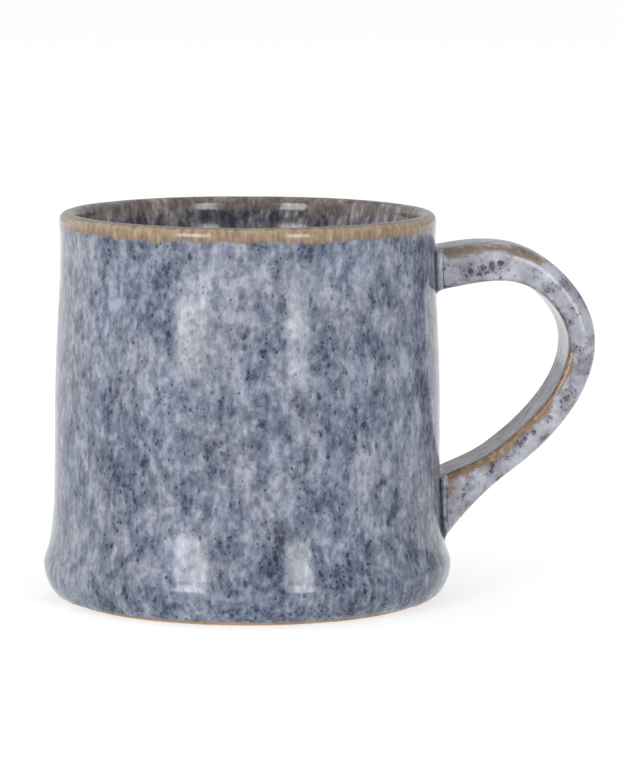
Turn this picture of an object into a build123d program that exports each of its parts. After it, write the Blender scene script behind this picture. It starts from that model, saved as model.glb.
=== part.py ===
from build123d import *
from math import asin, cos, degrees, radians, sin
import os

# A stoneware mug: a thrown cup with a flared heel, a pulled strap handle luted on with slip at both ends,
# and the coats of glaze that it is dipped in. All sizes are in millimetres.
# The origin is the centre of the plane the mug stands on, +Z is the cup's axis and the handle is on +X.

# ---- Cup: bare clay, outside ----
cup_height = 89.5  # crest of the lip
cup_radius = 44.05  # wall at the waistline
waistline_height = 58.0
neck_narrowing = 0.9  # how much narrower than the waistline the wall is under the lip
neck_drop = 4.0  # neck, below the crest
lip_narrowing = 0.8  # how much narrower than the waistline the lip is
instep_flare = 0.45  # how much wider the wall is where the heel's flare begins
instep_height = 27.0
heel_flare = 3.05  # how much wider the heel is than the waistline
heel_height = 8.0  # widest point of the heel
heel_roll = 9.3  # radius of the curve under the widest point
heel_shoulder = 2.6  # how soon the wall turns in above the widest point
heel_edge_height = 1.3  # where that curve ends, just clear of the table
foot_inset = 5.2  # outside of the foot ring, in from the heel
foot_step = 0.9  # upright edge of the foot ring

# ---- Cup: bare clay, inside and underneath ----
wall_thickness = 3.7
lip_thickness = 3.0
lip_crest = 0.5  # width left level between the two roundings of the lip
floor_thickness = 4.6
floor_corner = 8.5
foot_width = 5.6
recess_depth = 2.1  # hollow inside the foot ring
recess_corner = 1.2
foot_rounding = 0.35

# ---- Handle: bare clay, its centreline placed from the wall, the lip's crest and the table ----
handle_reach = 33.9  # centreline at its furthest, from the cup's wall
grip_drop = 30.2  # height of that point, below the crest
crown_inset = 14.0  # highest stretch, in from the furthest point
crown_drop = 12.1
crown_angle = 19.0  # degrees below level there, going out
forearm_reach = 12.2  # lower stretch, out from the wall
forearm_height = 29.5
forearm_angle = 34.0  # degrees below level there, coming in
root_depth = 3.4  # how far the strap is drawn into the wall before its ends are trimmed
upper_root_drop = 13.2
upper_root_angle = 9.0  # degrees above level, going out
lower_root_height = 17.0
lower_root_angle = 53.0  # degrees below level, coming in
strap_width = 15.3
strap_thickness = 5.8
upper_root_thickness = 8.7
lower_root_thickness = 12.0
upper_taper_end = 0.44  # share of the centreline's length over which the strap thins from the upper root
lower_swell_start = 0.77  # share at which it thickens again
outer_arris = 2.6  # rounding along the outside of the loop
inner_arris = 1.1  # rounding along the inside of the loop

# ---- Slip and glaze ----
slip_thickness = 1.0  # luting slip between the wall and the ends of the handle
slip_bead = 0.4  # how far it is squeezed out past the strap
glaze_thickness = 0.5
glaze_line = 1.2  # the glaze ends at this height, over a bare foot
rim_band = 4.3  # depth of the tan coat over the lip, below the bare crest

outline_points = 13  # points along each side of the strap's outline

# ---- Sizes that follow from those above ----
neck_radius = cup_radius - neck_narrowing
neck_height = cup_height - neck_drop
lip_radius = cup_radius - lip_narrowing
lip_rounding = (lip_thickness - lip_crest) / 2
lip_shoulder = cup_height - lip_rounding
instep_radius = cup_radius + instep_flare
wall_lean = (cup_radius - instep_radius, waistline_height - instep_height)
heel_turn_height = heel_height + heel_shoulder
heel_turn_radius = instep_radius + (heel_turn_height - instep_height) * wall_lean[0] / wall_lean[1]
heel_radius = cup_radius + heel_flare
heel_roll_centre = (heel_radius - heel_roll, heel_height)
heel_roll_turn = degrees(asin((heel_height - heel_edge_height) / heel_roll))
foot_radius = heel_radius - foot_inset
recess_radius = foot_radius - foot_width
floor_height = recess_depth + floor_thickness
root_radius = cup_radius - root_depth
furthest_radius = cup_radius + handle_reach


# ---- Cup: sections have X as the radius and Y as the height, on the side away from the handle ----
cup_plane = Plane(origin=(0, 0, 0), x_dir=(-1, 0, 0), z_dir=(0, 1, 0))


def draw_outside(coat):
    """Draw the cup's outside under a coat of this thickness, from the heel's widest point to the lip."""
    flare = Bezier(
        (heel_radius + coat, heel_height),
        (heel_radius + coat, heel_turn_height),
        (heel_turn_radius + coat, heel_turn_height),
        (instep_radius + coat, instep_height),
    )
    Spline(
        flare @ 1,
        (cup_radius + coat, waistline_height),
        (neck_radius + coat, neck_height),
        (lip_radius + coat, lip_shoulder),
        tangents=[wall_lean, (0, 1)],
    )


def cup_section(coat):
    """Half of the cup's section under a coat of this thickness. The foot ring stays bare."""
    wall = wall_thickness + coat
    roof = recess_depth - coat
    with BuildSketch() as section:
        with BuildLine():
            heel_curve = CenterArc(heel_roll_centre, heel_roll + coat, -heel_roll_turn, heel_roll_turn)
            draw_outside(coat)
            outer_lip = CenterArc((lip_radius - lip_rounding, lip_shoulder), lip_rounding + coat, 0, 90)
            crest = Line(outer_lip @ 1, outer_lip @ 1 - (lip_crest, 0))
            inner_lip = CenterArc(crest @ 1 - (0, lip_rounding + coat), lip_rounding + coat, 90, 90)
            inner_wall = Spline(
                inner_lip @ 1,
                (neck_radius - wall, neck_height),
                (cup_radius - wall, waistline_height),
                (instep_radius - wall, instep_height),
                tangents=[(0, -1), (-wall_lean[0], -wall_lean[1])],
            )
            inner_foot = Line(inner_wall @ 1, (instep_radius - wall, floor_height + coat))
            Polyline(
                inner_foot @ 1,
                (0, floor_height + coat),
                (0, roof),
                (recess_radius - coat, roof),
                (recess_radius - coat, 0),
                (foot_radius, 0),
                (foot_radius, foot_step),
                heel_curve @ 0,
            )
        make_face()
        fillet(section.vertices().sort_by_distance(inner_foot @ 1)[0], floor_corner - coat)
        fillet(section.vertices().sort_by_distance((recess_radius - coat, roof))[0], recess_corner - coat)
        fillet(section.vertices().group_by(Axis.Y)[0], foot_rounding)
    return section.sketch


def cup_envelope(coat):
    """The cup's outside under a coat of this thickness, from heel to lip, as one solid with no hollow."""
    with BuildPart() as envelope:
        with BuildSketch(cup_plane):
            with BuildLine():
                draw_outside(coat)
                Polyline(
                    (lip_radius + coat, lip_shoulder),
                    (0, lip_shoulder),
                    (0, heel_height),
                    (heel_radius + coat, heel_height),
                )
            make_face()
        revolve(axis=Axis.Z)
    return envelope.part


with BuildPart() as cup_body:
    with BuildSketch(cup_plane):
        add(cup_section(0))
    revolve(axis=Axis.Z)


# ---- Handle: the strap's centreline, in the plane of the cup's axis ----
def bend(start, start_heading, end, end_heading):
    """A smooth bend from point to point, its headings in degrees above level going out."""
    start = Vector(*start)
    end = Vector(*end)
    pull = (end - start).length / 3
    setting_out = Vector(pull, 0).rotate(Axis.Z, start_heading)
    arriving = Vector(pull, 0).rotate(Axis.Z, end_heading)
    return Bezier(start, start + setting_out, end - arriving, end)


upper_root = (root_radius, cup_height - upper_root_drop)
crown = (furthest_radius - crown_inset, cup_height - crown_drop)
grip = (furthest_radius, cup_height - grip_drop)
forearm = (cup_radius + forearm_reach, forearm_height)
lower_root = (root_radius, lower_root_height)

with BuildLine() as centreline:
    bend(upper_root, upper_root_angle, crown, -crown_angle)
    bend(crown, -crown_angle, grip, -90)
    bend(grip, -90, forearm, forearm_angle - 180)
    bend(forearm, forearm_angle - 180, lower_root, lower_root_angle - 180)


def eased(share):
    """A share from 0 to 1, eased in and out and held at its ends."""
    held = min(max(share, 0), 1)
    return held * held * (3 - 2 * held)


def strap_thickness_at(share):
    """Thickness of the pulled strap at this share of its length from the upper root."""
    taper = eased(1 - share / upper_taper_end)
    upper = taper * (upper_root_thickness - strap_thickness)
    swell = eased((share - lower_swell_start) / (1 - lower_swell_start))
    lower = swell * (lower_root_thickness - strap_thickness)
    return strap_thickness + upper + lower


def strap_side(side, coat):
    """Points down one side of the coated strap: 1 for the outside of the loop and -1 for the inside."""
    path = centreline.wire()
    outline = []
    for n in range(outline_points):
        share = n / (outline_points - 1)
        at = share * path.length
        outward = path.tangent_at(at, PositionMode.LENGTH).rotate(Axis.Z, 90)
        depth = strap_thickness_at(share) / 2 + coat
        outline.append(path.position_at(at, PositionMode.LENGTH) + side * depth * outward)
    return outline


def strap_blank(coat):
    """The strap under a coat of this thickness, before its ends are trimmed to the wall."""
    with BuildPart() as blank:
        with BuildSketch(Plane.XZ.offset(-strap_width / 2 - coat)):
            with BuildLine():
                outside = Spline(*strap_side(1, coat))
                inside = Spline(*strap_side(-1, coat))
                Line(outside @ 0, inside @ 0)
                Line(outside @ 1, inside @ 1)
            make_face()
        extrude(amount=strap_width + 2 * coat)
        fillet(blank.edges().filter_by(GeomType.BSPLINE).sort_by(SortBy.LENGTH)[:2], inner_arris + coat)
        fillet(blank.edges().filter_by(GeomType.BSPLINE).sort_by(SortBy.LENGTH)[-2:], outer_arris + coat)
    return blank.part


cup_outside = cup_envelope(0)
cup_under_glaze = cup_envelope(glaze_thickness)
cup_under_slip = cup_envelope(slip_thickness)
cup_under_slip_and_glaze = cup_envelope(slip_thickness + glaze_thickness)

with BuildPart() as handle:
    add(strap_blank(0))
    add(cup_under_slip, mode=Mode.SUBTRACT)


# ---- Slip: a pad squeezed between the wall and each end of the strap ----
slip_blank = strap_blank(slip_bead)

with BuildPart() as slip:
    add(slip_blank)
    add(cup_under_slip, mode=Mode.INTERSECT)
    add(cup_outside, mode=Mode.SUBTRACT)

with BuildPart() as upper_joint_slip:
    add(slip.solids().sort_by(Axis.Z)[-1])

with BuildPart() as lower_joint_slip:
    add(slip.solids().sort_by(Axis.Z)[0])


# ---- Glaze on the cup: one even coat round the clay, bare below the glaze line ----
with BuildSketch(cup_plane) as coat_section:
    add(cup_section(glaze_thickness))
    add(cup_section(0), mode=Mode.SUBTRACT)
    split(bisect_by=Plane(origin=(0, glaze_line, 0), z_dir=(0, 1, 0)))

base_coat, dipped_coat = coat_section.faces().sort_by(SortBy.AREA)
rim_line = Plane(origin=(0, cup_height - rim_band, 0), z_dir=(0, 1, 0))

with BuildSketch(cup_plane) as wall_coats:
    add(dipped_coat)
    split(bisect_by=rim_line, keep=Keep.BOTTOM)

interior_coat, exterior_coat = wall_coats.faces().sort_by(Axis.X)

with BuildPart() as rim_glaze:
    with BuildSketch(cup_plane):
        add(dipped_coat)
        split(bisect_by=rim_line)
    revolve(axis=Axis.Z)

with BuildPart() as interior_glaze:
    with BuildSketch(cup_plane):
        add(interior_coat)
    revolve(axis=Axis.Z)

with BuildPart() as base_glaze:
    with BuildSketch(cup_plane):
        add(base_coat)
    revolve(axis=Axis.Z)

with BuildPart() as exterior_glaze:
    with BuildSketch(cup_plane):
        add(exterior_coat)
    revolve(axis=Axis.Z)
    add(slip_blank, mode=Mode.SUBTRACT)


# ---- Glaze on the handle: a sleeve round the strap, with a collar over the slip at each end ----
with BuildPart() as handle_glaze:
    add(strap_blank(slip_bead + glaze_thickness))
    add(cup_under_slip_and_glaze, mode=Mode.INTERSECT)
    add(strap_blank(glaze_thickness))
    add([handle.part, slip.part, cup_under_glaze], mode=Mode.SUBTRACT)


pieces = {
    "cup_body": cup_body,
    "handle": handle,
    "upper_joint_slip": upper_joint_slip,
    "lower_joint_slip": lower_joint_slip,
    "exterior_glaze": exterior_glaze,
    "rim_glaze": rim_glaze,
    "interior_glaze": interior_glaze,
    "base_glaze": base_glaze,
    "handle_glaze": handle_glaze,
}
os.makedirs("parts", exist_ok=True)
for name, piece in pieces.items():
    piece.part.label = name
    export_step(piece.part, f"parts/{name}.step")
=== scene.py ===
import math

import bmesh
import bpy
import numpy as np
from mathutils import Matrix, Vector, noise


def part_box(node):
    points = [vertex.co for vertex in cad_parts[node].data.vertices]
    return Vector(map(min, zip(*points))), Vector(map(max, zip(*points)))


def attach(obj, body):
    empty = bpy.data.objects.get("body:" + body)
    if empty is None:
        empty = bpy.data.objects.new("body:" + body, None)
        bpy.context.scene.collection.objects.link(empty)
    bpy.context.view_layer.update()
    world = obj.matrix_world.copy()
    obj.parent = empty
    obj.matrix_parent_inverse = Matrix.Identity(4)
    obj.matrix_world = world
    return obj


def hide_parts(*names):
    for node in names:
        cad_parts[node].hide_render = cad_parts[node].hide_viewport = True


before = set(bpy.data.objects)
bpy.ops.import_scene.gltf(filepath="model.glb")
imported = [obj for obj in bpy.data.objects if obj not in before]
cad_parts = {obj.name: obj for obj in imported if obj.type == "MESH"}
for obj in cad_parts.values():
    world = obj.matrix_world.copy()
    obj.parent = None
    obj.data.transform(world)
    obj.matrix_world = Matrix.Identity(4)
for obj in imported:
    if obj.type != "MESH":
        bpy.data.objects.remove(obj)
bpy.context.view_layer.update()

# A stoneware mug in a speckled reactive glaze. Everything is in metres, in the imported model's frame:
# +Z is the cup's axis, the handle is on +X and the mug stands on z = 0.
# The clay and the slip are the CAD nodes. The five coats of glaze are modelled here, thrown and dipped.
MM = 0.001

# ---------------------------------------------------------------- sizes read from the frame
CUP_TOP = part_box("rim_glaze")[1].z
RIM_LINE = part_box("rim_glaze")[0].z
LIP_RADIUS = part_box("rim_glaze")[1].y
HEEL_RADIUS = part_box("exterior_glaze")[1].y
RECESS_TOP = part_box("base_glaze")[1].z
RECESS_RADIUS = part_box("base_glaze")[1].y
FLOOR_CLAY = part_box("interior_glaze")[0].z

# ---------------------------------------------------------------- sizes of the glazed cup
COAT = 0.5 * MM
CLAY_GAP = 0.03 * MM  # how little a coat's hidden side stands off the clay
LIP_ROUNDING = 1.75 * MM
LIP_LEVEL = 0.5 * MM
NECK_RADIUS = LIP_RADIUS - 0.10 * MM
NECK_HEIGHT = CUP_TOP - 4.5 * MM
WAIST_RADIUS = LIP_RADIUS + 0.80 * MM
WAIST_HEIGHT = 58.0 * MM
INSTEP_RADIUS = WAIST_RADIUS + 0.45 * MM
INSTEP_HEIGHT = 27.0 * MM
HEEL_HEIGHT = 8.0 * MM
HEEL_SHOULDER = 2.6 * MM
HEEL_ROLL = 9.8 * MM
HEEL_TURN = 43.0  # degrees
EDGE_ROLL = 0.42 * MM  # rounding of the glaze's lower edge
WALL = 4.7 * MM  # clay and both coats
FLOOR_CORNER = 8.0 * MM
RECESS_CORNER = 0.7 * MM
THIN_BAND = 4.4 * MM  # how far the glaze runs thin each side of the crest of the lip
THIN_FADE = 1.1 * MM
CREST_HIGHLIGHT_BAND = 0.5 * MM  # the crest itself, kept free of tan so it shows the plain grey-lavender glaze as a painted highlight
CREST_HIGHLIGHT_FADE = 0.8 * MM
AXIS_STOP = 0.4 * MM  # the rows of a coat stop this far from the axis, and a tip closes them

# ---------------------------------------------------------------- sizes of the glazed handle
BARE_WALL = WAIST_RADIUS - COAT
BARE_CREST = CUP_TOP - COAT
ROOT_RADIUS = BARE_WALL - 3.4 * MM  # the centreline starts and ends inside the wall
STRAP_REACH = BARE_WALL + 33.9 * MM
GRIP_HEIGHT = BARE_CREST - 30.2 * MM
CROWN = (STRAP_REACH - 14.0 * MM, BARE_CREST - 12.1 * MM)
FOREARM = (BARE_WALL + 12.2 * MM, 29.5 * MM)
UPPER_ROOT = (ROOT_RADIUS, BARE_CREST - 13.2 * MM)
LOWER_ROOT = (ROOT_RADIUS, 17.0 * MM)
UPPER_ANGLE = 9.0  # the way the centreline runs at each of these places, in degrees above level
CROWN_ANGLE = -19.0
GRIP_ANGLE = -90.0
FOREARM_ANGLE = -146.0
LOWER_ANGLE = -127.0
STRAP_HALF_WIDTH = 8.15 * MM
STRAP_THICKNESS = 6.8 * MM
UPPER_THICKNESS = 9.7 * MM
LOWER_THICKNESS = 13.0 * MM
UPPER_TAPER_END = 0.44  # share of the strap's length at which it stops thinning from the upper root
LOWER_SWELL_START = 0.77  # share at which it starts to thicken again
STRAP_CROWN = 0.4 * MM  # how much the outside of the strap is domed across its width
OUTER_ARRIS = 3.0 * MM
INNER_ARRIS = 1.5 * MM
FILLET_ALONG = 2.4 * MM  # the joint's fillet, along the strap and along the wall
FILLET_OUT = 1.5 * MM
FILLET_ROWS = 21
SLIP_ROLL = 0.62 * MM  # how far the roll of slip stands out of the joint at the strap's sides
OUTER_EDGE = 13  # the point of the section at the middle of its outer arris
INNER_EDGE = 23  # and of its inner one

SEGMENTS = 384  # round the cup
ROW_STEP = 0.55 * MM  # between rows down the cup
STRAP_ROWS = 190
STATIONS = 640  # sections worked out along the strap before its ends are cut to the wall


# ---------------------------------------------------------------- curves
def clamped_spline(points, start, end, count=60):
    """Points along a cubic spline through the given ones, leaving and arriving in the given directions."""
    p = np.array(points, float)
    gap = np.linalg.norm(np.diff(p, axis=0), axis=1)
    n = len(p)
    a = np.zeros((n, n))
    b = np.zeros((n, 2))
    a[0, 0] = a[-1, -1] = 1
    b[0] = np.array(start) / np.linalg.norm(start)
    b[-1] = np.array(end) / np.linalg.norm(end)
    for i in range(1, n - 1):
        a[i, i - 1 : i + 2] = gap[i], 2 * (gap[i - 1] + gap[i]), gap[i - 1]
        before = (p[i] - p[i - 1]) * gap[i] / gap[i - 1]
        after = (p[i + 1] - p[i]) * gap[i - 1] / gap[i]
        b[i] = 3 * (before + after)
    slope = np.linalg.solve(a, b)
    t = np.linspace(0, 1, count, endpoint=False)[:, None]
    pieces = []
    for i in range(n - 1):
        piece = (2 * t**3 - 3 * t**2 + 1) * p[i] + (3 * t**2 - 2 * t**3) * p[i + 1]
        piece += ((t**3 - 2 * t**2 + t) * slope[i] + (t**3 - t**2) * slope[i + 1]) * gap[i]
        pieces.append(piece)
    return np.vstack([*pieces, p[-1:]])


def bezier(points, count=60):
    """Points along a cubic Bezier curve."""
    t = np.linspace(0, 1, count)[:, None]
    a, b, c, d = (np.array(q) for q in points)
    return (1 - t) ** 3 * a + 3 * t * (1 - t) ** 2 * b + 3 * t**2 * (1 - t) * c + t**3 * d


def arc(centre, radius, start, end, count=40):
    """Points round an arc, its angles in degrees from +X."""
    t = np.radians(np.linspace(start, end, count))
    return np.array(centre) + radius * np.stack([np.cos(t), np.sin(t)], 1)


def join(*parts):
    """One line through several, without the points where they meet twice."""
    line = np.vstack(parts)
    keep = np.r_[True, np.linalg.norm(np.diff(line, axis=0), axis=1) > 1e-7]
    return line[keep]


def lengths(line):
    """Distance of each point along its line."""
    return np.r_[0, np.cumsum(np.linalg.norm(np.diff(line, axis=0), axis=1))]


def resample(line, at):
    """Points at these distances along a line."""
    along = lengths(line)
    return np.stack([np.interp(at, along, line[:, k]) for k in range(line.shape[1])], 1)


def stations(start, end, step):
    """Even distances from start to end, about a step apart."""
    return np.linspace(start, end, max(2, round((end - start) / step) + 1))


def right_of(line):
    """Unit normals on the right-hand side of a line's direction."""
    t = np.gradient(line, axis=0)
    t /= np.linalg.norm(t, axis=1)[:, None]
    return np.stack([t[:, 1], -t[:, 0]], 1)


def eased(x):
    """0 to 1, eased in and out and held at both ends."""
    x = np.clip(x, 0, 1)
    return x * x * (3 - 2 * x)


# ---------------------------------------------------------------- the cup's profile, as (radius, height)
lip_height = CUP_TOP - LIP_ROUNDING
lip_centre = LIP_RADIUS - LIP_ROUNDING
lean = np.array([WAIST_RADIUS - INSTEP_RADIUS, WAIST_HEIGHT - INSTEP_HEIGHT])
turn_height = HEEL_HEIGHT + HEEL_SHOULDER
turn_radius = INSTEP_RADIUS + (turn_height - INSTEP_HEIGHT) * lean[0] / lean[1]

heel = arc((HEEL_RADIUS - HEEL_ROLL, HEEL_HEIGHT), HEEL_ROLL, -HEEL_TURN, 0)
edge_turn = math.radians(HEEL_TURN)
edge_centre = heel[0] - EDGE_ROLL * np.array([math.cos(edge_turn), -math.sin(edge_turn)])
flare = bezier(
    [
        (HEEL_RADIUS, HEEL_HEIGHT),
        (HEEL_RADIUS, turn_height),
        (turn_radius, turn_height),
        (INSTEP_RADIUS, INSTEP_HEIGHT),
    ]
)
outer_wall = clamped_spline(
    [
        (INSTEP_RADIUS, INSTEP_HEIGHT),
        (WAIST_RADIUS, WAIST_HEIGHT),
        (NECK_RADIUS, NECK_HEIGHT),
        (LIP_RADIUS, lip_height),
    ],
    lean,
    (0, 1),
)
inner_wall = clamped_spline(
    [
        (lip_centre - LIP_LEVEL - LIP_ROUNDING, lip_height),
        (NECK_RADIUS - WALL, NECK_HEIGHT),
        (WAIST_RADIUS - WALL, WAIST_HEIGHT),
        (INSTEP_RADIUS - WALL, INSTEP_HEIGHT),
    ],
    (0, -1),
    -lean,
)
floor_top = FLOOR_CLAY + COAT
floor_corner = arc(
    (INSTEP_RADIUS - WALL - FLOOR_CORNER, floor_top + FLOOR_CORNER), FLOOR_CORNER, 0, -90
)
# From the glaze's lower edge up the outside, over the lip, down the inside and in to the floor's middle.
cup_line = join(
    arc(edge_centre, EDGE_ROLL, -150, -HEEL_TURN, 12),
    heel,
    flare,
    outer_wall,
    arc((lip_centre, lip_height), LIP_ROUNDING, 0, 90),
    arc((lip_centre - LIP_LEVEL, lip_height), LIP_ROUNDING, 90, 180),
    inner_wall,
    floor_corner,
    [(0.0, floor_top)],
)
cup_lengths = lengths(cup_line)
crest_at = cup_lengths[np.argmax(cup_line[:, 1])] + LIP_LEVEL / 2
above_rim_line = np.nonzero(cup_line[:, 1] > RIM_LINE)[0]
going_up = slice(above_rim_line[0] + 1)
going_down = slice(above_rim_line[-1], above_rim_line[-1] + 9)
rim_start = np.interp(RIM_LINE, cup_line[going_up, 1], cup_lengths[going_up])
rim_end = np.interp(-RIM_LINE, -cup_line[going_down, 1], cup_lengths[going_down])


def wall_radius(height):
    """Radius of the cup's glazed outside at this height."""
    line = join(heel, flare, outer_wall)
    return np.interp(height, line[:, 1], line[:, 0])


def unevenness(p):
    """How far the thrown and glazed surface stands out from its true form at this place."""
    q = Vector(p)
    lumps = 0.10 * noise.noise(q * 38 + Vector((7.1, 2.3, 5.7)))
    rings = 0.045 * noise.noise(Vector((q.x * 12 + 1.7, q.y * 12 + 9.2, q.z * 150)))
    pools = 0.030 * noise.noise(Vector((q.x * 160, q.y * 160, q.z * 90)))
    return (lumps + rings + pools) * MM


# ---------------------------------------------------------------- meshes
def grid_mesh(name, rows, values, tips=(), sharp_rows=()):
    """A closed mesh through rings of points. Tips close its ends, or else the last ring joins the first."""
    count, around = len(rows), len(rows[0])
    points = [tuple(p) for row in rows for p in row]
    faces = []
    for i in range(count - 1 if tips else count):
        a, b = i * around, (i + 1) % count * around
        faces += [(a + j, b + j, b + (j + 1) % around, a + (j + 1) % around) for j in range(around)]
    for tip, ring in zip(tips, (0, (count - 1) * around)):
        faces += [(len(points), ring + j, ring + (j + 1) % around) for j in range(around)]
        points.append(tuple(tip))
    mesh = bpy.data.meshes.new(name)
    mesh.from_pydata(points, [], faces)
    for key, by_row in values.items():
        flat = [v for row in by_row for v in row]
        flat += [flat[0], flat[-1]][: len(points) - len(flat)]
        mesh.attributes.new(key, "FLOAT", "POINT").data.foreach_set("value", flat)
    shaped = bmesh.new()
    shaped.from_mesh(mesh)
    bmesh.ops.recalc_face_normals(shaped, faces=shaped.faces)
    for edge in shaped.edges:
        a, b = (v.index // around for v in edge.verts)
        edge.smooth = not (a == b and a in sharp_rows)
    for face in shaped.faces:
        face.smooth = True
    shaped.to_mesh(mesh)
    shaped.free()
    piece = bpy.data.objects.new(name, mesh)
    bpy.context.scene.collection.objects.link(piece)
    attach(piece, "root")
    return piece


def rings(line, normals, uneven):
    """A ring of points round the cup's axis for each point of a profile line."""
    turns = np.linspace(0, 2 * math.pi, SEGMENTS, endpoint=False)
    rows = []
    for (r, z), (nr, nz) in zip(line, normals):
        row = []
        for turn in turns:
            c, s = math.cos(turn), math.sin(turn)
            d = unevenness((r * c, r * s, z)) if uneven else 0.0
            row.append(((r + nr * d) * c, (r + nr * d) * s, z + nz * d))
        rows.append(row)
    return rows


def let_edge_run(rows):
    """The glaze's lower edge has run a little further down in some places than in others."""
    fade_rows = round(3.5 * MM / ROW_STEP)
    for i in range(fade_rows):
        share = (1 - i / fade_rows) ** 2
        for j, (x, y, z) in enumerate(rows[i]):
            q = Vector((x, y, 0))
            wave = 0.28 * noise.noise(q * 55) + 0.16 * noise.noise(q * 230 + Vector((3, 1, 4)))
            rows[i][j] = (x, y, z + wave * MM * share)


def coat_of_glaze(name, line, values, open_side=1, to_axis=False, edge_runs=False):
    """A closed coat: its open side follows the line, and its hidden side lies over the clay."""
    normals = right_of(line) * open_side
    depth = np.full(len(line), COAT - CLAY_GAP)
    if edge_runs:
        depth = np.interp(lengths(line), [0, 0.8 * MM, 2 * MM], [0.05 * MM, 0.3 * MM, depth[0]])
    clay_line = line - normals * depth[:, None]
    shown, hidden = rings(line, normals, True), rings(clay_line[::-1], normals, False)
    if edge_runs:
        let_edge_run(shown)
    values = {key: [[v] * SEGMENTS for v in [*each, *each[::-1]]] for key, each in values.items()}
    n = len(line)
    rows = shown + hidden
    if not to_axis:
        return grid_mesh(name, rows, values, sharp_rows={0, n - 1, n, 2 * n - 1})
    # This line ends near the axis, so the rows run from one side's middle, round the edge, to the other's.
    order = [*range(n - 1, -1, -1), *range(2 * n - 1, n - 1, -1)]
    rows = [rows[i] for i in order]
    values = {key: [by_row[i] for i in order] for key, by_row in values.items()}
    tips = [(0, 0, line[-1][1]), (0, 0, clay_line[-1][1])]
    return grid_mesh(name, rows, values, tips, sharp_rows={n - 1, n})


def thinness(at):
    """How thin the glaze has run, by distance from the crest of the lip: it turns tan about 0.5. Right on
    the crest it is held down, so the crest shows the plain grey-lavender glaze as a painted highlight line.
    """
    drop = abs(at - crest_at)
    return max(0, 0.5 + min((THIN_BAND - drop) / (2 * THIN_FADE), (drop - CREST_HIGHLIGHT_BAND) / CREST_HIGHLIGHT_FADE))


def cup_coat(name, start, end, **options):
    """The coat along one stretch of the cup's profile, with how thin it runs and which side it is on."""
    at = stations(start, end, ROW_STEP)
    values = {
        "thin": [thinness(a) for a in at],
        "inward": [eased(0.5 + (a - crest_at) / (3 * MM)) for a in at],
    }
    return coat_of_glaze(name, resample(cup_line, at), values, **options)


def make_cup_glaze():
    """The four coats on the cup, each for its CAD node."""
    outside = cup_coat("dipped_glaze_outside", 0, rim_start, edge_runs=True)
    rim = cup_coat("thin_glaze_on_lip", rim_start, rim_end)
    inside = cup_coat("dipped_glaze_inside", rim_end, cup_lengths[-1] - AXIS_STOP, to_axis=True)
    roof = RECESS_TOP - COAT
    corner_centre = (RECESS_RADIUS - COAT - RECESS_CORNER, roof - RECESS_CORNER)
    base_line = join(arc(corner_centre, RECESS_CORNER, 25, 90, 12), [(AXIS_STOP, roof)])
    at = stations(0, lengths(base_line)[-1], 1.1 * MM)
    values = {"thin": [0.0] * len(at), "inward": [0.0] * len(at)}
    base_line = resample(base_line, at)
    base = coat_of_glaze("glaze_in_foot_recess", base_line, values, open_side=-1, to_axis=True)
    for piece, node, slot in (
        (outside, "exterior_glaze", "outer_glaze"),
        (rim, "rim_glaze", "rim_glaze"),
        (inside, "interior_glaze", "inner_glaze"),
        (base, "base_glaze", "outer_glaze"),
    ):
        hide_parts(node)
    return outside, rim, inside, base


# ---------------------------------------------------------------- the handle
def direction(degrees):
    """A unit direction, by its angle above level, going out."""
    return (math.cos(math.radians(degrees)), math.sin(math.radians(degrees)))


def bend(start, start_angle, end, end_angle):
    """A smooth bend from point to point, by the angles at which it sets out and arrives."""
    start, end = np.array(start), np.array(end)
    pull = np.linalg.norm(end - start) / 3
    setting_out = pull * np.array(direction(start_angle))
    arriving = pull * np.array(direction(end_angle))
    return bezier([start, start + setting_out, end - arriving, end], 120)


GRIP = (STRAP_REACH, GRIP_HEIGHT)
centreline = join(
    bend(UPPER_ROOT, UPPER_ANGLE, CROWN, CROWN_ANGLE),
    bend(CROWN, CROWN_ANGLE, GRIP, GRIP_ANGLE),
    bend(GRIP, GRIP_ANGLE, FOREARM, FOREARM_ANGLE),
    bend(FOREARM, FOREARM_ANGLE, LOWER_ROOT, LOWER_ANGLE),
)
strap_length = lengths(centreline)[-1]
centreline = resample(centreline, np.linspace(0, strap_length, STATIONS))
strap_normals = -right_of(centreline)


def strap_thickness(share):
    """Thickness of the glazed strap at this share of its length from the upper root."""
    taper = eased(1 - share / UPPER_TAPER_END)
    swell = eased((share - LOWER_SWELL_START) / (1 - LOWER_SWELL_START))
    extra = (UPPER_THICKNESS - STRAP_THICKNESS) * taper + (LOWER_THICKNESS - STRAP_THICKNESS) * swell
    return STRAP_THICKNESS + extra


def strap_section(thickness, inset=0.0):
    """The strap's section as (across, out), from the middle of its outside round by +Y."""
    wide, deep = STRAP_HALF_WIDTH - inset, thickness / 2 - inset
    outer, inner = OUTER_ARRIS - inset, INNER_ARRIS - inset
    edge_top = deep - STRAP_CROWN
    half = join(
        np.stack([np.linspace(0, wide - outer, 9), np.full(9, edge_top)], 1),
        arc((wide - outer, edge_top - outer), outer, 90, 0, 11),
        arc((wide - inner, inner - deep), inner, 0, -90, 9),
        np.stack([np.linspace(wide - inner, 0, 9), np.full(9, -deep)], 1),
    )
    dome = STRAP_CROWN * (1 - (half[:, 0] / wide) ** 2)
    half[:, 1] += dome * eased((half[:, 1] + deep) / (edge_top + deep))
    return np.vstack([half, half[-2:0:-1] * (-1, 1)])


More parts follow.
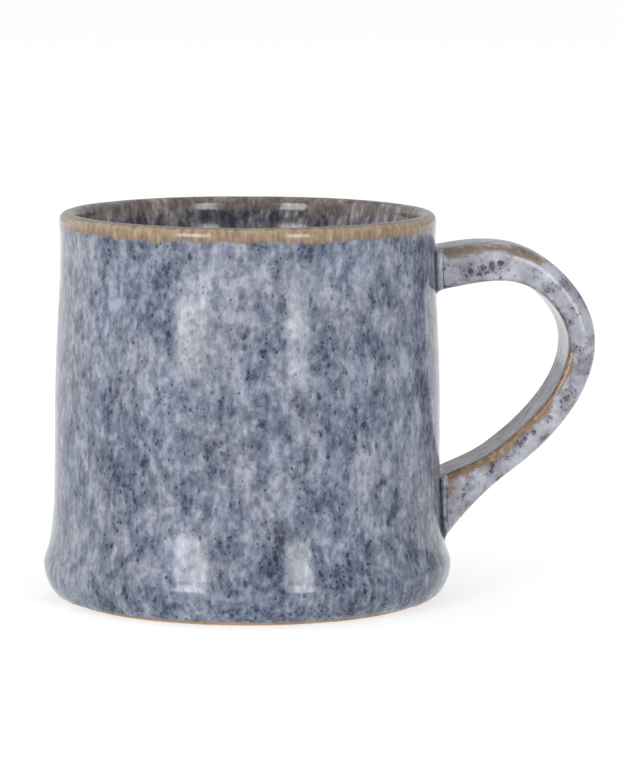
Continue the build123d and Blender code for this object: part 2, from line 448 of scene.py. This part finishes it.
def swept(inset=0.0):
    """Sections of the strap all along its centreline, uncut: points and the way each faces."""
    points, facing = [], []
    for i, (centre, normal) in enumerate(zip(centreline, strap_normals)):
        section = strap_section(strap_thickness(i / (STATIONS - 1)), inset)
        t = np.roll(section, -1, 0) - np.roll(section, 1, 0)
        t /= np.linalg.norm(t, axis=1)[:, None]
        for flat, kept in ((section, points), (np.stack([-t[:, 1], t[:, 0]], 1), facing)):
            at = centre if kept is points else (0, 0)
            xz = np.array(at) + flat[:, 1:] * normal
            kept.append(np.stack([xz[:, 0], flat[:, 0], xz[:, 1]], 1))
    return np.array(points), np.array(facing)


def along(table, at, index):
    """A value from a table of sections, at a station that need not be whole."""
    low = int(min(max(at, 0), STATIONS - 2))
    return table[low, index] + (at - low) * (table[low + 1, index] - table[low, index])


def meets_wall(points, index):
    """The stations where one line of the strap leaves the cup's wall, and where it comes back."""
    line = points[:, index]
    outside = np.hypot(line[:, 0], line[:, 1]) - wall_radius(line[:, 2])
    found = []
    for first, second in (((0, 1), 1), ((STATIONS - 1, STATIONS - 2), -1)):
        i = first[0]
        while outside[i] < 0:
            i += second
        before = i - second
        found.append(before + second * outside[before] / (outside[before] - outside[i]))
    return found


def on_wall(p, sunk):
    """The place on the cup's uneven wall at this height and bearing, sunk a little into it."""
    turn = math.atan2(p[1], p[0])
    r = float(wall_radius(p[2]))
    r += unevenness((r * math.cos(turn), r * math.sin(turn), p[2])) - sunk
    return np.array([r * math.cos(turn), r * math.sin(turn), p[2]])


def joint_fillet(on_strap, meeting, facing):
    """Points from strap to wall: over a roll of slip at the strap's sides, and down a fillet elsewhere."""
    radial = np.array([meeting[0], meeting[1], 0]) / math.hypot(meeting[0], meeting[1])
    along_strap = (on_strap - meeting) / np.linalg.norm(on_strap - meeting)
    away = facing - radial * np.dot(facing, radial)
    away /= np.linalg.norm(away)
    foot = on_wall(meeting + away * FILLET_OUT, 0.05 * MM)
    lump = 1 + 0.5 * noise.noise(Vector(meeting) * 210)
    points = []
    for t in np.linspace(0, 1, FILLET_ROWS):
        fillet = (1 - t) ** 2 * on_strap + 2 * t * (1 - t) * meeting + t**2 * foot
        turn = math.pi * min(max((t - 0.15) / 0.62, 0), 1)
        reach = np.interp(t, [0, 0.15, 0.77, 1], [FILLET_ALONG, 1.85 * MM, 0.30 * MM, 0])
        if 0 < turn < math.pi:
            reach = 1.07 * MM + 0.78 * MM * math.cos(turn)
        out = SLIP_ROLL * lump * math.sin(turn)
        roll = meeting + along_strap * reach + facing * out
        settle = eased((t - 0.77) / 0.23)
        roll = roll + (foot - roll) * settle
        share = roll_share(facing)
        points.append(fillet + (roll - fillet) * share)
    return points


def roll_share(facing):
    """How far the joint is a roll of slip, 1 on the strap's sides, and not a plain fillet."""
    return float(eased((abs(facing[1]) - 0.35) / 0.5))


def arris_thinness(at, index):
    """How thin the glaze has run: over the outer arris near the cup, and the inner one lower down. Its peak
    on each arris also pales the tan there, partly real thin glaze and partly a painted highlight.
    """
    share = at / (STATIONS - 1)
    section = strap_section(strap_thickness(share))
    near_root = math.exp(-share * strap_length / (8 * MM))
    near_lower_root = math.exp(-(1 - share) * strap_length / (11 * MM))
    mirrored = (math.copysign(1, section[index][0]), 1)
    to_outer = np.linalg.norm(section[index] - section[OUTER_EDGE] * mirrored)
    to_inner = np.linalg.norm(section[index] - section[INNER_EDGE] * mirrored)
    outer = 0.18 + 0.50 * eased((0.34 - share) / 0.16)
    inner = 0.10 + 0.90 * eased((share - 0.40) / 0.12)
    outer *= 1.15 - to_outer / ((2.3 + 2.5 * near_root) * MM)
    inner *= 1.20 - to_inner / ((1.6 + 3.0 * near_lower_root) * MM)
    return float(max(outer, inner, 0.0))


def crease_shade(t, share):
    """How much painted shade darkens the two creases beside the roll of slip, at this share of the way to
    the wall.
    """
    creases = math.exp(-(((t - 0.12) / 0.05) ** 2)) + math.exp(-(((t - 0.84) / 0.07) ** 2))
    return share * creases


def make_handle_glaze():
    """One coat over the strap, out to the wall at both joints, closed by a hidden side over the clay."""
    points, facing = swept()
    for i in range(STATIONS):
        for j in range(len(points[0])):
            q = Vector(points[i, j])
            lumps = 0.16 * noise.noise(q * 75) + 0.04 * noise.noise(q * 260)
            points[i, j] += facing[i, j] * MM * lumps
    inside_points = swept(COAT - CLAY_GAP)[0]
    per_metre = (STATIONS - 1) / strap_length
    way = np.linspace(0, 1, FILLET_ROWS)
    shown, hidden, thin, wall = [], [], [], []
    for j in range(len(points[0])):
        upper, lower = meets_wall(points, j)
        start, end = upper + FILLET_ALONG * per_metre, lower - FILLET_ALONG * per_metre
        top = joint_fillet(along(points, start, j), along(points, upper, j), along(facing, start, j))
        bottom = joint_fillet(along(points, end, j), along(points, lower, j), along(facing, end, j))
        at = np.linspace(start, end, STRAP_ROWS)[1:-1]
        shown.append([*top[::-1], *(along(points, a, j) for a in at), *bottom])
        under = np.linspace(lower + 1.2 * MM * per_metre, upper - 1.2 * MM * per_metre, 60)
        hidden.append([along(inside_points, a, j) for a in under])
        top_roll, bottom_roll = (roll_share(along(facing, a, j)) for a in (start, end))
        fade = eased(way * 3)
        # Thin is pushed below zero in the two creases beside the roll of slip, which tan_break darkens as
        # painted shade.
        top_thin = [arris_thinness(start, j) * (1 - f) - crease_shade(t, top_roll) for t, f in zip(way, fade)]
        bottom_thin = [arris_thinness(end, j) * (1 - f) - crease_shade(t, bottom_roll) for t, f in zip(way, fade)]
        strap_thin = [arris_thinness(a, j) for a in at]
        thin.append([*top_thin[::-1], *strap_thin, *bottom_thin, *[0.0] * len(under)])
        wall_fade = eased((way - 0.5) / 0.5)
        wall.append([*wall_fade[::-1], *[0.0] * len(at), *wall_fade, *[0.0] * len(under)])
    columns = (shown, hidden, thin, wall)
    shown, hidden, thin, wall = ([list(row) for row in zip(*each)] for each in columns)
    n = len(shown)
    sharp = {0, n - 1, n, n + len(hidden) - 1}
    piece = grid_mesh("handle_glaze_sleeve", shown + hidden, {"thin": thin, "wall": wall}, sharp_rows=sharp)
    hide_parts("handle_glaze")
    return piece


# ---------------------------------------------------------------- materials
def tint(r, g, b):
    """A linear colour from an sRGB one in 0 to 255."""
    return (*(((c / 255 + 0.055) / 1.055) ** 2.4 if c > 10 else c / 3295 for c in (r, g, b)), 1.0)


def node(tree, kind, inputs=None, **settings):
    """A node with its settings made and its inputs set or linked."""
    made = tree.nodes.new("ShaderNode" + kind)
    for key, value in settings.items():
        setattr(made, key, value)
    for key, value in (inputs or {}).items():
        if isinstance(value, bpy.types.NodeSocket):
            tree.links.new(value, made.inputs[key])
        else:
            made.inputs[key].default_value = value
    return made


def sums(tree, operation, a, b):
    """One step of arithmetic on two values."""
    return node(tree, "Math", {0: a, 1: b}, operation=operation).outputs[0]


def plus(tree, total, value, weight, middle=0.0):
    """A total, and a weight times how far a value stands above its middle."""
    if middle:
        value = sums(tree, "SUBTRACT", value, middle)
    return sums(tree, "ADD", total, sums(tree, "MULTIPLY", value, weight))


def noise_at(tree, place, size, detail=2.0, roughness=0.5):
    """Soft noise, 0 to 1, whose lumps are about this many metres across."""
    inputs = {"Vector": place, "Scale": 1 / size, "Detail": detail, "Roughness": roughness}
    return node(tree, "TexNoise", inputs).outputs[0]


def stretched(tree, place, factors, shift=(0, 0, 0)):
    """The same place in a space that is squeezed, so that patterns there are drawn out here."""
    return node(tree, "Mapping", {"Vector": place, "Scale": factors, "Location": shift}).outputs[0]


def between(tree, value, low, high, to_low=0.0, to_high=1.0):
    """A value eased from one range to another, and held at its ends."""
    inputs = {"Value": value, "From Min": low, "From Max": high, "To Min": to_low, "To Max": to_high}
    return node(tree, "MapRange", inputs, interpolation_type="SMOOTHSTEP").outputs[0]


def coloured(tree, value, stops):
    """A colour ramp."""
    made = node(tree, "ValToRGB", {0: value})
    elements = made.color_ramp.elements
    while len(elements) < len(stops):
        elements.new(0.5)
    for element, (position, colour) in zip(elements, stops):
        element.position = position
        element.color = colour
    return made.outputs[0]


def mixed(tree, share, a, b, blend_type="MIX"):
    """Two colours mixed, or one laid over the other in another way, by a share from 0 to 1."""
    made = node(tree, "Mix", {0: share, 6: a, 7: b}, data_type="RGBA", blend_type=blend_type)
    return made.outputs[2]


def colour_group(name, build):
    """A node group with a Thin input, and Colour and Height outputs."""
    tree = bpy.data.node_groups.new(name, "ShaderNodeTree")
    tree.interface.new_socket("Thin", in_out="INPUT", socket_type="NodeSocketFloat")
    tree.interface.new_socket("Colour", in_out="OUTPUT", socket_type="NodeSocketColor")
    tree.interface.new_socket("Height", in_out="OUTPUT", socket_type="NodeSocketFloat")
    entry, end = tree.nodes.new("NodeGroupInput"), tree.nodes.new("NodeGroupOutput")
    place = node(tree, "TexCoord").outputs["Object"]
    colour, height = build(tree, place, entry.outputs["Thin"])
    tree.links.new(colour, end.inputs["Colour"])
    tree.links.new(height, end.inputs["Height"])
    return tree


def tan_break(tree, place, thin, colour, drawn_out, strength=1.0):
    """Where the glaze runs thin it breaks to tan, with a darker border. Where thin is below zero, in the
    creases beside the handle's roll of slip, it is darkened to navy as painted shade.
    """
    streaks = noise_at(tree, stretched(tree, place, (1, 1, drawn_out)), 1.2 * MM, 3.0, 0.6)
    patches = noise_at(tree, place, 5 * MM, 2.0)
    ragged = plus(tree, sums(tree, "MULTIPLY", streaks, 0.9), patches, 1.0)
    edge = sums(tree, "ADD", thin, sums(tree, "SUBTRACT", ragged, 0.95))
    mask = sums(tree, "MULTIPLY", between(tree, edge, 0.30, 0.68), strength)
    # The tan pales towards cream as thin rises; along the handle's arrises this pale line is partly real
    # thin glaze and partly a painted highlight.
    tan = coloured(
        tree,
        plus(tree, sums(tree, "MULTIPLY", edge, 0.25), streaks, 0.85),
        (
            (0.30, tint(86, 68, 60)),
            (0.44, tint(104, 84, 70)),
            (0.58, tint(122, 101, 80)),
            (0.72, tint(136, 117, 94)),
            (0.90, tint(160, 143, 120)),
        ),
    )
    # Painted shade: dark navy where thin is below zero, in the creases beside the handle's roll of slip.
    deep = mixed(tree, between(tree, thin, -0.15, -0.75), colour, tint(44, 46, 66))
    return mixed(tree, mask, deep, tan)


def specks_at(tree, place, size, density):
    """Round specks, 1 inside and 0 outside. Density is the share of cells this size that hold one."""
    cells = node(tree, "TexVoronoi", {"Vector": place, "Scale": 1 / size})
    chance = node(tree, "SeparateColor", {0: cells.outputs["Color"]})
    present = between(tree, sums(tree, "SUBTRACT", density, chance.outputs[0]), -0.02, 0.05)
    radius = plus(tree, 0.14, chance.outputs[1], 0.30)
    out = sums(tree, "DIVIDE", cells.outputs["Distance"], radius)
    return sums(tree, "MULTIPLY", present, between(tree, out, 1.15, 0.55))


def wall_glaze(tree, place, thin):
    """Slate and blue-grey glaze that has run a little: clouds, dark clusters and pepper."""
    warp = node(tree, "TexNoise", {"Vector": place, "Scale": 1 / (9 * MM), "Detail": 1.0}).outputs[1]
    offset = node(tree, "VectorMath", {0: warp, 1: (0.5, 0.5, 0.5)}, operation="SUBTRACT").outputs[0]
    offset = node(tree, "VectorMath", {0: offset, "Scale": 5 * MM}, operation="SCALE").outputs[0]
    warped = node(tree, "VectorMath", {0: place, 1: offset}, operation="ADD").outputs[0]
    run = stretched(tree, warped, (1, 1, 0.6))
    clouds = noise_at(tree, run, 15 * MM, 2.0)
    clusters = noise_at(tree, stretched(tree, run, (1, 1, 1), (0.3, 0.1, 0.2)), 4.0 * MM, 4.0, 0.60)
    grain = noise_at(tree, stretched(tree, place, (1, 1, 0.7)), 1.3 * MM, 3.0, 0.6)
    wisps = noise_at(tree, stretched(tree, place, (1, 1, 0.2)), 1.4 * MM, 2.0)
    height = node(tree, "SeparateXYZ", {0: place}).outputs[2]
    low = between(tree, height, 9 * MM, 3 * MM)
    dense = plus(tree, clusters, clouds, 0.5, middle=0.5)
    in_cluster = between(tree, dense, 0.45, 0.63)
    density = plus(tree, plus(tree, 0.11, in_cluster, 0.66), low, 0.40)
    fine = specks_at(tree, stretched(tree, place, (1, 1, 0.75)), 0.85 * MM, density)
    aside = stretched(tree, place, (1, 1, 0.7), (0.4, 0.8, 0.3))
    coarse = specks_at(tree, aside, 1.7 * MM, sums(tree, "MULTIPLY", density, 0.6))
    tone = plus(tree, 0.54, dense, -1.75, middle=0.52)
    for pattern, weight in ((grain, -1.35), (wisps, 0.50)):
        tone = plus(tree, tone, pattern, weight, middle=0.5)
    for pattern, weight in ((fine, -0.44), (coarse, -0.38), (low, -0.08)):
        tone = plus(tree, tone, pattern, weight)
    colour = coloured(
        tree,
        tone,
        (
            (0.00, tint(26, 32, 52)),
            (0.20, tint(56, 65, 86)),
            (0.57, tint(100, 107, 123)),
            (0.70, tint(116, 121, 136)),
            (0.83, tint(130, 133, 147)),
            (1.00, tint(148, 150, 161)),
        ),
    )
    hue = noise_at(tree, stretched(tree, warped, (1, 1, 0.6), (0.7, 0.2, 0.4)), 11 * MM, 1.0)
    shades = ((0.34, (0.94, 1.0, 1.03, 1)), (0.50, (0.98, 1.0, 1.0, 1)), (0.66, (1.02, 0.99, 0.97, 1)))
    colour = mixed(tree, 1.0, colour, coloured(tree, hue, shades), blend_type="MULTIPLY")
    return tan_break(tree, place, thin, colour, 0.3), tone


def inner_glaze(tree, place, thin):
    """The same glaze seen thicker inside: grey-brown, with dark streaks running down from the lip."""
    run = stretched(tree, place, (1, 1, 0.32))
    clouds = noise_at(tree, run, 7 * MM, 2.0)
    streaks = noise_at(tree, run, 2.2 * MM, 3.0, 0.6)
    specks = noise_at(tree, stretched(tree, place, (1, 1, 0.6)), 0.9 * MM, 2.0)
    tone = -1.46
    for pattern, weight in ((clouds, 0.8), (streaks, 2.3), (specks, 0.8)):
        tone = plus(tree, tone, pattern, weight)
    colour = coloured(
        tree,
        tone,
        (
            (0.10, tint(32, 32, 48)),
            (0.30, tint(66, 65, 76)),
            (0.50, tint(98, 95, 101)),
            (0.70, tint(122, 117, 120)),
            (0.90, tint(158, 156, 161)),
        ),
    )
    return tan_break(tree, place, thin, colour, 0.3, 0.30), tone


def handle_glaze(tree, place, thin):
    """Paler glaze on the handle, with a few small clusters of purple-brown specks."""
    clouds = noise_at(tree, place, 6 * MM, 3.0)
    clusters = noise_at(tree, stretched(tree, place, (1, 1, 1), (0.2, 0.5, 0.1)), 3.6 * MM, 3.0, 0.6)
    grain = noise_at(tree, place, 1.1 * MM, 3.0, 0.6)
    in_cluster = between(tree, clusters, 0.47, 0.61)
    density = plus(tree, 0.06, in_cluster, 0.72)
    fine = specks_at(tree, place, 0.8 * MM, density)
    aside = stretched(tree, place, (1, 1, 1), (0.4, 0.8, 0.3))
    coarse = specks_at(tree, aside, 2.0 * MM, sums(tree, "MULTIPLY", density, 0.8))
    tone = plus(tree, 0.82, clouds, 1.0, middle=0.5)
    tone = plus(tree, tone, grain, -0.55, middle=0.5)
    for pattern, weight in ((in_cluster, -0.30), (fine, -0.40), (coarse, -0.36)):
        tone = plus(tree, tone, pattern, weight)
    colour = coloured(
        tree,
        tone,
        (
            (0.05, tint(40, 37, 58)),
            (0.30, tint(82, 77, 93)),
            (0.55, tint(121, 119, 130)),
            (0.80, tint(147, 149, 158)),
            (1.00, tint(168, 171, 179)),
        ),
    )
    return tan_break(tree, place, thin, colour, 1.0), tone


def glaze_material(name, groups, shares=None):
    """A glossy glaze from one colour group, or from two mixed by a share written on the mesh."""
    made = bpy.data.materials.new(name)
    made.use_nodes = True
    tree = made.node_tree
    shader = tree.nodes["Principled BSDF"]
    thin = node(tree, "Attribute", attribute_name="thin").outputs["Fac"]
    outputs = []
    for group in groups:
        used = node(tree, "Group", node_tree=group)
        tree.links.new(thin, used.inputs["Thin"])
        outputs.append((used.outputs["Colour"], used.outputs["Height"]))
    colour, height = outputs[0]
    if shares:
        share = node(tree, "Attribute", attribute_name=shares).outputs["Fac"]
        colour = mixed(tree, share, colour, outputs[1][0])
        height = node(tree, "Mix", {0: share, 2: height, 3: outputs[1][1]}).outputs[0]
    place = node(tree, "TexCoord").outputs["Object"]
    ripple = noise_at(tree, place, 2.4 * MM, 2.0)
    relief = plus(tree, ripple, height, 0.25)
    bump = node(tree, "Bump", {"Height": relief, "Strength": 0.35, "Distance": 0.06 * MM})
    worn = noise_at(tree, place, 3 * MM, 2.0)
    tree.links.new(colour, shader.inputs["Base Color"])
    tree.links.new(between(tree, worn, 0.3, 0.7, 0.10, 0.20), shader.inputs["Roughness"])
    tree.links.new(bump.outputs[0], shader.inputs["Normal"])
    shader.inputs["IOR"].default_value = 1.5
    return made


def clay_material(name, dark, light, grain):
    """Bare fired clay: matt, with fine grog and a toasted tone."""
    made = bpy.data.materials.new(name)
    made.use_nodes = True
    tree = made.node_tree
    shader = tree.nodes["Principled BSDF"]
    place = node(tree, "TexCoord").outputs["Object"]
    clouds = noise_at(tree, place, 8 * MM, 2.0)
    grog = noise_at(tree, place, grain, 2.0, 0.6)
    tone = plus(tree, sums(tree, "MULTIPLY", clouds, 0.5), grog, 0.5)
    bump = node(tree, "Bump", {"Height": grog, "Strength": 0.5, "Distance": 0.08 * MM})
    tree.links.new(coloured(tree, tone, ((0.35, dark), (0.65, light))), shader.inputs["Base Color"])
    tree.links.new(between(tree, grog, 0.3, 0.7, 0.62, 0.80), shader.inputs["Roughness"])
    tree.links.new(bump.outputs[0], shader.inputs["Normal"])
    return made


def give(obj, material):
    """Puts one material all over an object."""
    obj.data.materials.clear()
    obj.data.materials.append(material)


# ---------------------------------------------------------------- camera, floor and lights
CAMERA_TURN = 6.2  # degrees the camera stands round from the front, towards -X
CAMERA_DISTANCE = 1.0636
CAMERA_HEIGHT = 0.1842
CAMERA_YAW = 0.785  # degrees it looks to the right of the cup's axis
CAMERA_PITCH = 7.25  # degrees it looks down
CAMERA_ROLL = 0.207
CAMERA_LENS = 213.5
FLOOR_HALF = 12.0
FLOOR_DROP = 0.02 * MM  # the paper lies this far under the foot
FLOOR_TONE = 0.62
FLOOR_GLOW = 0.6
STUDIO_LIGHT = 0.6  # radiance of the studio all round, where the camera sees plain white
SOFTBOX_LIGHT = 6.0
REFLECTOR_LIGHT = 0.4


def make_camera():
    turn, yaw = math.radians(CAMERA_TURN), math.radians(CAMERA_TURN + CAMERA_YAW)
    pitch, roll = math.radians(CAMERA_PITCH), math.radians(CAMERA_ROLL)
    ahead = Vector((math.sin(yaw) * math.cos(pitch), math.cos(yaw) * math.cos(pitch), -math.sin(pitch)))
    right = Vector((math.cos(yaw), -math.sin(yaw), 0))
    up = right.cross(ahead)
    right, up = right * math.cos(roll) + up * math.sin(roll), up * math.cos(roll) - right * math.sin(roll)
    camera = bpy.data.objects.new("camera", bpy.data.cameras.new("camera"))
    place = Vector((-CAMERA_DISTANCE * math.sin(turn), -CAMERA_DISTANCE * math.cos(turn), CAMERA_HEIGHT))
    camera.matrix_world = Matrix.Translation(place) @ Matrix((right, up, -ahead)).transposed().to_4x4()
    camera.data.lens = CAMERA_LENS
    camera.data.sensor_width = 36.0
    camera.data.clip_start, camera.data.clip_end = 0.01, 50
    bpy.context.scene.collection.objects.link(camera)
    bpy.context.scene.camera = camera


def make_floor():
    """A plain pale floor, lit from below a little like a light table, whose edge is out of sight."""
    shaped = bmesh.new()
    bmesh.ops.create_grid(shaped, x_segments=8, y_segments=8, size=FLOOR_HALF)
    bmesh.ops.translate(shaped, vec=(0, 0, -FLOOR_DROP), verts=shaped.verts)
    mesh = bpy.data.meshes.new("floor")
    shaped.to_mesh(mesh)
    shaped.free()
    floor = bpy.data.objects.new("floor", mesh)
    bpy.context.scene.collection.objects.link(floor)
    made = bpy.data.materials.new("floor_paper")
    made.use_nodes = True
    shader = made.node_tree.nodes["Principled BSDF"]
    shader.inputs["Base Color"].default_value = (FLOOR_TONE, FLOOR_TONE, FLOOR_TONE, 1)
    shader.inputs["Roughness"].default_value = 0.9
    shader.inputs["Specular IOR Level"].default_value = 0.1
    shader.inputs["Emission Color"].default_value = (1, 1, 1, 1)
    shader.inputs["Emission Strength"].default_value = FLOOR_GLOW
    give(floor, made)


def make_softbox(name, bearing, low, high, width, radiance, distance=1.5):
    """A soft window-like light. Its bearing from the camera's, and its spread, are degrees at the mug."""
    turn = math.radians(CAMERA_TURN)
    towards = Vector((-math.sin(turn), -math.cos(turn), 0))
    right = Vector((math.cos(turn), -math.sin(turn), 0))
    side = math.radians(bearing)
    out = towards * math.cos(side) + right * math.sin(side)
    middle = Vector((0, 0, CUP_TOP / 2))
    bottom = distance * math.tan(math.radians(low))
    top = distance * math.tan(math.radians(high))
    light = bpy.data.lights.new(name, "AREA")
    light.shape = "RECTANGLE"
    light.size = 2 * distance * math.tan(math.radians(width / 2))
    light.size_y = top - bottom
    light.energy = radiance * 4 * light.size * light.size_y
    lamp = bpy.data.objects.new(name, light)
    place = middle + out * distance + Vector((0, 0, (top + bottom) / 2))
    lamp.matrix_world = Matrix.Translation(place) @ out.to_track_quat("Z", "Y").to_matrix().to_4x4()
    lamp.visible_camera = False
    bpy.context.scene.collection.objects.link(lamp)


def make_surroundings():
    world = bpy.data.worlds.new("white_studio")
    world.use_nodes = True
    tree = world.node_tree
    seen = node(tree, "LightPath").outputs["Is Camera Ray"]
    strength = node(tree, "MapRange", {"Value": seen, "To Min": STUDIO_LIGHT, "To Max": 1.0}).outputs[0]
    tree.links.new(strength, tree.nodes["Background"].inputs["Strength"])
    tree.nodes["Background"].inputs["Color"].default_value = (1.0, 1.0, 1.0, 1)
    bpy.context.scene.world = world
    bpy.context.scene.view_settings.view_transform = "Standard"
    bpy.context.scene.view_settings.look = "None"
    make_floor()
    make_softbox("softbox_left", -33, -2.8, 27, 19, SOFTBOX_LIGHT)
    make_softbox("softbox_right", 30, -2.8, 27, 14, SOFTBOX_LIGHT)
    make_softbox("reflector_left", -108, -5, 45, 75, REFLECTOR_LIGHT)


make_camera()
outside, rim, inside, base = make_cup_glaze()
sleeve = make_handle_glaze()
wall_group = colour_group("wall_glaze", wall_glaze)
inner_group = colour_group("inner_glaze", inner_glaze)
handle_group = colour_group("handle_glaze", handle_glaze)
outer_material = glaze_material("speckled_outer_glaze", [wall_group])
give(outside, outer_material)
give(base, outer_material)
give(rim, glaze_material("thin_tan_glaze", [wall_group, inner_group], "inward"))
give(inside, glaze_material("streaked_inner_glaze", [inner_group]))
give(sleeve, glaze_material("pale_handle_glaze", [handle_group, wall_group], "wall"))
clay = clay_material("fired_stoneware", tint(150, 126, 98), tint(188, 164, 134), 0.7 * MM)
slip = clay_material("fired_slip", tint(138, 118, 96), tint(170, 150, 124), 0.4 * MM)
for name in ("cup_body", "handle"):
    give(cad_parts[name], clay)
for name in ("upper_joint_slip", "lower_joint_slip"):
    give(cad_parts[name], slip)
make_surroundings()
